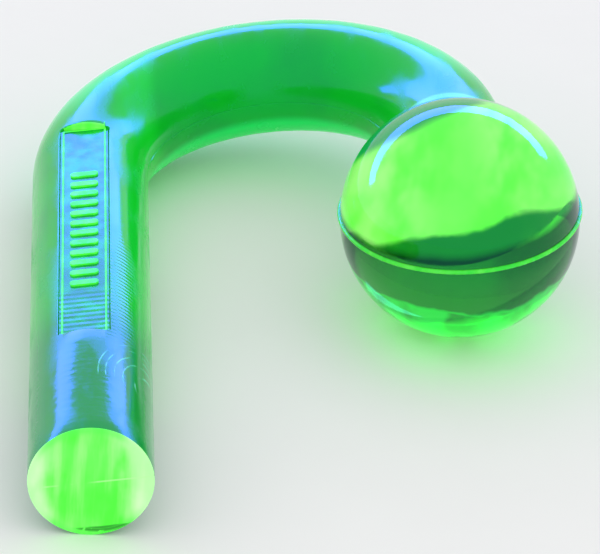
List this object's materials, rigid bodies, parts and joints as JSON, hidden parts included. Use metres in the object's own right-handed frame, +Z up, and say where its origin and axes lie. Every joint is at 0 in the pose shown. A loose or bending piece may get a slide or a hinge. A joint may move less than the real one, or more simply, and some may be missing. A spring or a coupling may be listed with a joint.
{
  "type": "ball-ended crook",
  "caption": "Clear green plastic crook: a round bar with a flat end, a half-turn bend and a ball end, with a small inlaid plate.",
  "frame": {"origin": "on the floor, under the middle of the object's box", "axes": "+Z up from the floor it lies on, +Y along the shank from its end face to the bend, +X from the shank to the ball"},
  "size_m": [0.0971, 0.1424, 0.0427],
  "materials": {
    "rod_plastic": "polished live-edge green, deep in colour",
    "ball_plastic": "clear polished green",
    "seam_plastic": "bright live-edge green",
    "plate_plastic": "moulded green, satin, with a brighter rim and marks"
  },
  "bodies": {
    "root": {"crook_upper_half": "rod_plastic", "crook_lower_half": "rod_plastic", "ball_upper_half": "ball_plastic", "ball_lower_half": "ball_plastic", "ball_seam_ring": "seam_plastic", "neck_bead": "ball_plastic", "name_plate": "plate_plastic"}
  },
  "joints": []
}
